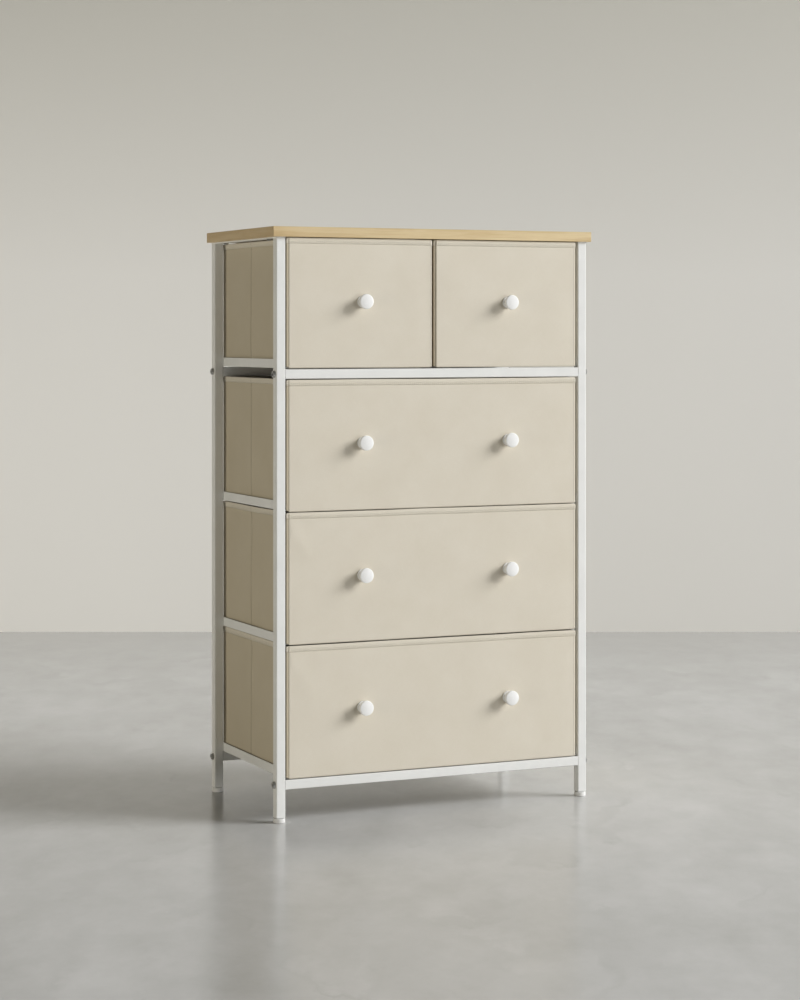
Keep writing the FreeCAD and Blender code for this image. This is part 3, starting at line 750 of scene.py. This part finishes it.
def stitchPlaces(cut):
    # point, direction and outward direction of each stitch
    plain, ways = cut["plan"]["plain"], cut["plan"]["ways"]
    closed = np.concatenate([plain, plain[:1]])
    lengths = np.concatenate([[0.0], np.cumsum(np.hypot(*np.diff(closed, axis=0).T))])

    def onPerimeter(distance, values):
        looped = np.concatenate([values, values[:1]])
        return np.array([np.interp(distance, lengths, column) for column in looped.T])

    places = []
    surface = stitch["width"] / 2 - stitch["sunk"]
    drops = (shell["stitchDrop"], shell["stitchDrop"] - stitch["rowGap"])
    for distance in np.arange(stitch["pitch"], lengths[-1], stitch["pitch"]):
        spot = onPerimeter(distance, plain)
        way = onPerimeter(distance, ways)
        way = way / np.hypot(*way)
        if max(abs(way)) < 0.999:
            continue   # none where the hem turns a corner
        top = onPerimeter(distance, cut["upperZ"][:, None])[0]
        for drop, proud in zip(drops, stitch["rowsProud"]):
            out = shell["hemProud"] * proud + surface
            places.append(((*(spot + way * out), top - drop), (-way[1], way[0], 0.0),
                           (way[0], way[1], 0.0)))
    bottom, top = cut["bottomZ"].max() + 8.0, cut["upperZ"].min() - shell["hem"] - 3.0
    seamY = cut["plan"]["foldY"] - stitch["foldGap"]
    out = stitch["width"] / 2 - stitch["foldSunk"]
    for edge, way in ((plain[:, 0].min(), -1.0), (plain[:, 0].max(), 1.0)):
        for level in np.arange(bottom, top, stitch["pitch"]):
            places.append(((edge + way * out, seamY, level), (0.0, 0.0, 1.0), (way, 0.0, 0.0)))
    return places


def makeStitches(name, cut):
    shape, shapeFaces = threadShape()
    points, faces = [], []
    for number, (spot, along, outward) in enumerate(stitchPlaces(cut)):
        turned = shape @ np.array([along, np.cross(along, outward), outward])
        points.append((turned + np.array(spot)) * mm)
        faces += [[number * len(shape) + corner for corner in face] for face in shapeFaces]
    mesh = smoothMesh(f"{name}_stitches", np.concatenate(points).tolist(), faces)
    mesh.materials.append(threadPaint.material)
    addPiece(f"{name}_stitches", mesh, name)


for seed, (name, front) in enumerate(fronts.items()):
    makeStitches(name, makeShell(name, front, 20 + 10 * seed))
    print("cloth of", name)


# powder-coated frame

steelCoat = {
    "white": rgb(0.815, 0.820, 0.805),
    "thin": rgb(0.760, 0.765, 0.750),
    "speck": rgb(0.62, 0.62, 0.60),
    "grain": 1500.0,     # orange peel, in waves a metre
    "peel": 0.05,
}


def makeCoatPaint():
    paint = Paint("powder_coat", {"Specular IOR Level": 0.45, "Coat Roughness": 0.35})
    place = paint.place()
    peel = paint.noise(place, steelCoat["grain"], 2.0)
    cloud = paint.noise(place, 22.0, 4.0, 0.6)
    specks = paint.clamped(0.70, 0.78, paint.noise(place, 2600.0, 1.0))
    thin = paint.clamped(0.30, 0.75, cloud)
    white = paint.mix(thin, steelCoat["white"], steelCoat["thin"])
    paint.set("Base Color", paint.mix(specks * 0.25, white, steelCoat["speck"]))
    paint.set("Roughness", 0.36 + cloud * 0.10 + peel * 0.06)
    paint.bump(peel * steelCoat["peel"] + cloud * 0.02, mm)
    return paint


coatPaint = makeCoatPaint()
ends = ("front", "back")
sides = ("left", "right")
coatNodes(coatPaint, *(f"post_{end}_{side}" for end in ends for side in sides))
coatNodes(coatPaint, *(f"{end}_{level}_rail" for end in ends for level in ("middle", "bottom")))
coatNodes(coatPaint, *(f"side_top_bar_{side}" for side in sides), "centre_support")
coatNodes(coatPaint, *(f"runner_{row}_{side}" for row in ("top", "upper", "middle", "lower")
                       for side in sides))
print("frame coated")


# top board

boardWood = {
    "pale": rgb(0.735, 0.600, 0.375),
    "tan": rgb(0.635, 0.490, 0.280),
    "dark": rgb(0.510, 0.365, 0.190),
    "endTone": 0.20,         # how much darker the end bands are
    "leftTone": 0.30,        # and all the bands towards the left
    "leftFrom": 0.16,        # metres from the middle, where that starts and where it is full
    "leftTo": -0.28,
    "bandLine": rgb(0.380, 0.285, 0.175),
    "bandThickness": 0.5,    # the facing's thickness, seen as a hairline round the edge
    "figureBend": 9.0,
}


def makeBoardPaint():
    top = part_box("top_board")[1].z
    paint = Paint("wood_laminate", {"Specular IOR Level": 0.4})
    x, y, z = paint.parts(paint.place())
    facesX, _, facesZ = paint.facing()
    # the grain runs along the board, and along its edge bands
    lengthways = paint.choose(facesX > 0.7, paint.vector(x, y, z), paint.vector(y, x, z))
    bend = paint.noise(paint.stretched(lengthways, (2.5, 9.0, 9.0)), 1.0, 2.0)
    flow = paint.stretched(lengthways, (3.0, 95.0, 95.0))
    figure = paint.noise(paint.moved(flow, paint.vector(0.0, bend * boardWood["figureBend"], 0.0)),
                         1.0, 5.0, 0.62)
    fine = paint.noise(paint.stretched(lengthways, (14.0, 620.0, 620.0)), 1.0, 4.0, 0.55)
    dashes = paint.noise(paint.stretched(lengthways, (60.0, 2400.0, 2400.0)), 1.0, 2.0)
    pores = paint.clamped(0.62, 0.74, dashes)
    body = paint.node("ValToRGB", {"stops": [(0.30, boardWood["dark"]), (0.47, boardWood["tan"]),
                                             (0.62, boardWood["pale"]), (0.80, boardWood["tan"])]},
                      {"Fac": figure * 0.80 + fine * 0.20})
    grained = paint.mix(pores * 0.10, body, boardWood["dark"])
    # hairline where the edge bands meet the facings
    onBands = 1 - (facesZ > 0.7)
    fromTop = paint.maths("ABSOLUTE", z - (top - boardWood["bandThickness"] * mm))
    line = (1 - paint.clamped(0.06 * mm, 0.22 * mm, fromTop)) * onBands
    # the bands grow darker towards the left
    leftward = paint.clamped(boardWood["leftFrom"], boardWood["leftTo"], x)
    leftDarkening = leftward * onBands * boardWood["leftTone"]
    banded = paint.mix((facesX > 0.7) * boardWood["endTone"] + leftDarkening, grained, boardWood["dark"])
    paint.set("Base Color", paint.mix(line * 0.5, banded, boardWood["bandLine"]))
    paint.set("Roughness", 0.42 + figure * 0.14 + pores * 0.1)
    paint.bump(fine * 0.10 - pores * 0.12, mm)
    return paint


boardPaint = makeBoardPaint()
coatNodes(boardPaint, "top_board")
print("board grained")


# knobs, feet, sockets, screws and stiffeners

plastics = {
    "knob": rgb(0.890, 0.893, 0.888),
    "knobShade": rgb(0.850, 0.853, 0.845),
    "foot": rgb(0.800, 0.800, 0.785),
    "footWorn": rgb(0.640, 0.635, 0.615),
    "socket": rgb(0.700, 0.700, 0.690),
    "socketDark": rgb(0.600, 0.600, 0.590),
}


def makePlasticPaint(name, plain, shade, roughness, coatWeight):
    paint = Paint(name, {"Specular IOR Level": 0.5, "Coat Weight": coatWeight,
                         "Coat Roughness": 0.08})
    place = paint.place()
    cloud = paint.noise(place, 120.0, 3.0)
    skin = paint.noise(place, 3200.0, 2.0)
    rubs = paint.noise(paint.stretched(place, (900.0, 900.0, 160.0)), 1.0, 2.0)
    scuff = paint.clamped(0.60, 0.72, rubs)
    worn = paint.clamped(0.35, 0.70, cloud) * 0.6 + scuff * 0.25
    paint.set("Base Color", paint.mix(worn, plain, shade))
    paint.set("Roughness", roughness + cloud * 0.08 + scuff * 0.10)
    paint.bump(skin * 0.012 + scuff * 0.01, mm)
    return paint


screwSteel = {"bright": rgb(0.600, 0.600, 0.585), "dull": rgb(0.400, 0.395, 0.380),
              "metallic": 1.0}
boltSteel = {"bright": rgb(0.660, 0.660, 0.645), "dull": rgb(0.420, 0.416, 0.400),
             "metallic": 0.7}


def makeSteelPaint(name, steel):
    paint = Paint(name, {"Metallic": steel["metallic"]})
    place = paint.place()
    crystals = paint.noise(place, 700.0, 4.0, 0.65)
    turned = paint.noise(paint.stretched(place, (3200.0, 500.0, 500.0)), 1.0, 2.0)
    paint.set("Base Color", paint.mix(crystals, steel["bright"], steel["dull"]))
    paint.set("Roughness", 0.22 + crystals * 0.18 + turned * 0.08)
    paint.bump(turned * 0.03 + crystals * 0.03, mm)
    return paint


fibreboard = {"plain": rgb(0.430, 0.320, 0.205), "fleck": rgb(0.560, 0.445, 0.310),
              "dark": rgb(0.270, 0.190, 0.115)}


def makeFibreboardPaint():
    paint = Paint("fibreboard", {"Specular IOR Level": 0.25})
    place = paint.place()
    fibres = paint.noise(place, 950.0, 6.0, 0.72)
    cloud = paint.noise(place, 38.0, 4.0, 0.6)
    flecks = paint.clamped(0.60, 0.68, fibres)
    ground = paint.mix(paint.clamped(0.3, 0.7, cloud), fibreboard["plain"], fibreboard["fleck"])
    paint.set("Base Color", paint.mix(flecks * 0.6, ground, fibreboard["dark"]))
    paint.set("Roughness", 0.72 + fibres * 0.15)
    paint.bump(fibres * 0.12, mm)
    return paint


knobPaint = makePlasticPaint("knob_plastic", plastics["knob"], plastics["knobShade"], 0.20, 0.35)
footPaint = makePlasticPaint("foot_plastic", plastics["foot"], plastics["footWorn"], 0.42, 0.0)
socketPaint = makePlasticPaint("socket_plastic", plastics["socket"], plastics["socketDark"],
                               0.50, 0.0)
steelPaint = makeSteelPaint("zinc_steel", screwSteel)
boardBackPaint = makeFibreboardPaint()
coatNodes(footPaint, *(f"foot_{end}_{side}" for end in ends for side in sides))
coatNodes(socketPaint, "foot_sockets")
coatNodes(steelPaint, "board_screws", "rail_end_nuts")
for name in fronts:
    coatNodes(steelPaint, f"{name}_knob_screws")
    coatNodes(boardBackPaint, f"{name}_front_board", f"{name}_bottom_board")
    coatNodes(knobPaint, *knobNodes(name))
print("knobs, feet and screws finished")


# frame bolts: domed heads with a flat rim and a six-sided socket

bolt = {
    "head": 11.2,
    "tall": 4.0,
    "shoulder": 1.1,      # height of the head's straight side
    "rim": 3.5,           # radius of the flat ring round the socket
    "socket": 4.6,        # across the socket's flats
    "socketDepth": 2.4,
    "shank": 5.9,
    "length": 32.0,
    "columns": 36,
    "domeRows": 8,
    "sharpAngle": 35.0,
}


def boltRings():
    # rings from the socket's floor out over the dome and down the shank: height, radii
    turns = np.arange(bolt["columns"]) * math.tau / bolt["columns"]
    flats = bolt["socket"] / 2 / np.cos((turns + math.pi / 6) % (math.pi / 3) - math.pi / 6)
    tall, shoulder, rim = bolt["tall"], bolt["shoulder"], bolt["rim"]
    radius, shank = bolt["head"] / 2, bolt["shank"] / 2
    floorHeight = tall - bolt["socketDepth"]
    rings = [(floorHeight - 0.5, flats * 0.05), (floorHeight, flats * 0.96),
             (floorHeight + 0.1, flats), (tall - 0.2, flats), (tall, flats + 0.2),
             (tall, np.maximum(flats + 0.3, rim))]
    for turn in np.radians(np.linspace(12.0, 90.0, bolt["domeRows"])):
        rings.append((shoulder + (tall - shoulder) * math.cos(turn),
                      rim + (radius - rim) * math.sin(turn)))
    rings += [(0.25, radius), (0.0, radius - 0.25), (0.0, shank), (-bolt["length"], shank)]
    return [(height, np.broadcast_to(radii, turns.shape)) for height, radii in rings], turns


def boltPlaces():
    # the posts' outer faces, level with the middles of the cross rails
    for end in ends:
        for level in ("middle", "bottom"):
            railLow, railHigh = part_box(f"{end}_{level}_rail")
            for way, side in ((-1, "left"), (1, "right")):
                postLow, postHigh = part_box(f"post_{end}_{side}")
                yield (way, postLow.x if way < 0 else postHigh.x, (railLow.y + railHigh.y) / 2,
                       (railLow.z + railHigh.z) / 2)


def makeBolts():
    rings, turns = boltRings()
    points, faces = [], []
    for way, x, y, z in boltPlaces():
        first = len(points)
        for height, radii in rings:
            points += [(x + way * height * mm, y + radius * math.cos(turn) * mm,
                        z + way * radius * math.sin(turn) * mm)
                       for radius, turn in zip(radii, turns)]
        faces += closedQuads(first, len(rings), len(turns), True).tolist()
        faces += [list(range(first, first + len(turns))),
                  list(range(len(points) - len(turns), len(points)))[::-1]]
    mesh = smoothMesh("bolt_heads", points, faces)
    mesh.set_sharp_from_angle(angle=math.radians(bolt["sharpAngle"]))
    mesh.materials.append(makeSteelPaint("bolt_steel", boltSteel).material)
    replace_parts(addPiece("bolts_with_heads", mesh, "frame"), "frame_bolts")


makeBolts()
print("bolts made")


# room, in metres: pale floor, backdrop and soft light

room = {
    "floor": rgb(0.600, 0.600, 0.592),
    "floorPale": rgb(0.715, 0.715, 0.712),
    "floorDark": rgb(0.484, 0.482, 0.466),
    "floorVein": rgb(0.420, 0.419, 0.402),
    "floorPaintedShade": rgb(0.466, 0.462, 0.448),
    "wall": rgb(0.803, 0.793, 0.760),
    "wallPale": rgb(0.833, 0.823, 0.790),
    "wallPaintedShade": rgb(0.640, 0.628, 0.572),
    "wallPaintedShadeFrom": 0.9,   # heights between which a painted shade darkens the wall upwards
    "wallPaintedShadeTo": 1.7,
    "floorPaintedShadeFrom": 1.2,  # distances beyond the dresser between which a painted shade darkens the floor
    "floorPaintedShadeTo": 2.2,
    "wallBehind": 6.105,   # from the camera, along its view
    "reach": 14.0,
    "sky": (0.86, 0.82, 0.70),
    "skyStrength": 0.025,
}

viewCamera = {
    "place": (-1.63412, -3.61331, 0.75846),
    "turn": 24.34,          # to the right of straight ahead, in degrees
    "focal": 2421.74,       # in pixels of the frame below
    "horizonRow": 331.12,
    "frameHeight": 1000.0,
    "sensor": 36.0,
}

viewTurn = math.radians(viewCamera["turn"])
ahead = Vector((math.sin(viewTurn), math.cos(viewTurn), 0.0))
aside = Vector((math.cos(viewTurn), -math.sin(viewTurn), 0.0))


def makeFloorPaint():
    paint = Paint("pale_floor", {"Specular IOR Level": 0.55})
    x, y, _ = paint.parts(paint.place())
    beyond = x * ahead.x + y * ahead.y
    across = x * aside.x + y * aside.y
    place = paint.vector(across, beyond * 0.55, 0.0)
    cloud = paint.noise(place, 3.4, 7.0, 0.58)
    drift = paint.noise(place, 9.0, 6.0, 0.62)
    warped = paint.moved(place, paint.vector(cloud * 0.35, drift * 0.25, 0.0))
    fromVein = paint.maths("ABSOLUTE", paint.noise(warped, 2.3, 3.0) - 0.5)
    vein = 1 - paint.clamped(0.0, 0.035, fromVein)
    grit = paint.noise(place, 420.0, 3.0)
    shade = paint.node("ValToRGB", {"stops": [(0.28, room["floorDark"]), (0.50, room["floor"]),
                                              (0.72, room["floorPale"])]},
                       {"Fac": cloud * 0.55 + drift * 0.45})
    veined = paint.mix(vein * paint.clamped(0.45, 0.7, drift) * 0.5, shade, room["floorVein"])
    # painted shade: the floor a little darker towards the wall
    far = paint.clamped(room["floorPaintedShadeFrom"], room["floorPaintedShadeTo"], beyond)
    paint.set("Base Color", paint.mix(far, veined, room["floorPaintedShade"]))
    paint.set("Roughness", 0.14 + cloud * 0.14 + grit * 0.03)
    paint.bump(cloud * 0.4 + grit * 0.02, mm)
    return paint


def makeWallPaint():
    # seen from its front alone, so that it never hides the dresser from behind
    paint = Paint("pale_wall", {"Specular IOR Level": 0.1, "Roughness": 0.9})
    place = paint.place()
    _, _, height = paint.parts(place)
    plain = paint.mix(paint.noise(place, 0.8, 3.0), room["wall"], room["wallPale"])
    # painted shade: the wall darkens towards its top, in place of light that falls off there
    upper = paint.clamped(room["wallPaintedShadeFrom"], room["wallPaintedShadeTo"], height)
    paint.set("Base Color", paint.mix(upper, plain, room["wallPaintedShade"]))
    clear = paint.node("BsdfTransparent", {}, {})
    behind = paint.node("NewGeometry", {}, {}, out="Backfacing")
    front = Wire(paint, paint.shader.outputs[0])
    seen = paint.node("MixShader", {}, {0: behind, 1: front, 2: clear})
    paint.feed(paint.tree.nodes["Material Output"].inputs["Surface"], seen)
    return paint


def makeSheet(name, corners, paint):
    mesh = bpy.data.meshes.new(name)
    mesh.from_pydata(corners, [], [(0, 1, 2, 3)])
    sheet = show(bpy.data.objects.new(name, mesh))
    coat(sheet, paint)
    return sheet


eye = Vector(viewCamera["place"])
wallFoot = Vector((eye.x, eye.y, 0.0)) + ahead * room["wallBehind"]
reach = room["reach"]
floor = makeSheet("floor", [(-reach, -reach, 0.0), (reach, -reach, 0.0), (reach, reach, 0.0),
                            (-reach, reach, 0.0)], makeFloorPaint())
wallLeft, wallRight = wallFoot - aside * reach, wallFoot + aside * reach
wallTop = Vector((0.0, 0.0, reach / 2))
makeSheet("backdrop", [wallLeft, wallRight, wallRight + wallTop, wallLeft + wallTop],
          makeWallPaint())

world = bpy.context.scene.world or bpy.data.worlds.new("world")
bpy.context.scene.world = world
world.use_nodes = True
background = world.node_tree.nodes["Background"]
background.inputs["Color"].default_value = (*room["sky"], 1.0)
background.inputs["Strength"].default_value = room["skyStrength"]

# Each lamp: its bearing from the front towards the right in degrees, the height of its middle,
# how far out it stands, its width and height, and its power. A lamp is white and aims at the
# middle of the dresser unless it says otherwise.
lamps = {
    "window": {"bearing": 60.0, "height": 6.0, "distance": 12.0, "size": (6.8, 5.4),
               "power": 2110.0},
    "front_fill": {"bearing": 18.0, "height": 0.55, "distance": 5.2, "size": (2.6, 0.9),
                   "power": 48.0, "colour": (1.0, 0.99, 0.97), "onFloor": False},
    "bounce": {"bearing": -82.0, "height": 0.40, "distance": 3.4, "size": (3.0, 0.7),
               "power": 36.5, "colour": (1.0, 0.93, 0.78), "onFloor": False},
    "wall_wash": {"bearing": -112.0, "height": 0.7, "distance": 3.6, "size": (1.8, 1.0),
                  "power": 5.0, "colour": (1.0, 0.98, 0.94), "spread": 64.0,
                  "aim": (0.1, 2.30, 0.35)},
    "gleam": {"bearing": 38.0, "height": 4.0, "distance": 6.0, "size": (1.8, 1.4),
              "power": 9.0, "mirrored": True},
}
# the low lamps fill the dresser's shaded faces and leave the floor to the window
unfilled = bpy.data.collections.new("unfilled")
unfilled.objects.link(floor)
unfilled.collection_objects[0].light_linking.link_state = "EXCLUDE"


def makeLamp(name, bearing, height, distance, size, power, colour=(1.0, 1.0, 1.0),
             spread=180.0, aim=(0.0, 0.0, 0.46), onFloor=True, mirrored=False):
    light = bpy.data.lights.new(name, "AREA")
    light.shape = "RECTANGLE"
    light.size, light.size_y = size
    light.energy = power
    light.color = colour
    light.spread = math.radians(spread)
    lamp = show(bpy.data.objects.new(name, light))
    bearing = math.radians(bearing)
    lamp.location = (math.sin(bearing) * distance, -math.cos(bearing) * distance, height)
    lamp.rotation_euler = (Vector(aim) - lamp.location).to_track_quat("-Z", "Y").to_euler()
    lamp.visible_camera = False
    lamp.visible_glossy = mirrored  # most would show in the floor as white patches
    if not onFloor:
        lamp.light_linking.receiver_collection = unfilled


for name, lamp in lamps.items():
    makeLamp(name, **lamp)

lens = bpy.data.cameras.new("camera")
lens.sensor_width = viewCamera["sensor"]
lens.lens = viewCamera["focal"] * viewCamera["sensor"] / viewCamera["frameHeight"]
lens.shift_y = viewCamera["horizonRow"] / viewCamera["frameHeight"] - 0.5
camera = show(bpy.data.objects.new("camera", lens))
camera.location = eye
camera.rotation_euler = (math.radians(90.0), 0.0, -viewTurn)
bpy.context.scene.camera = camera
bpy.context.scene.view_settings.view_transform = "Standard"
print("room lit")
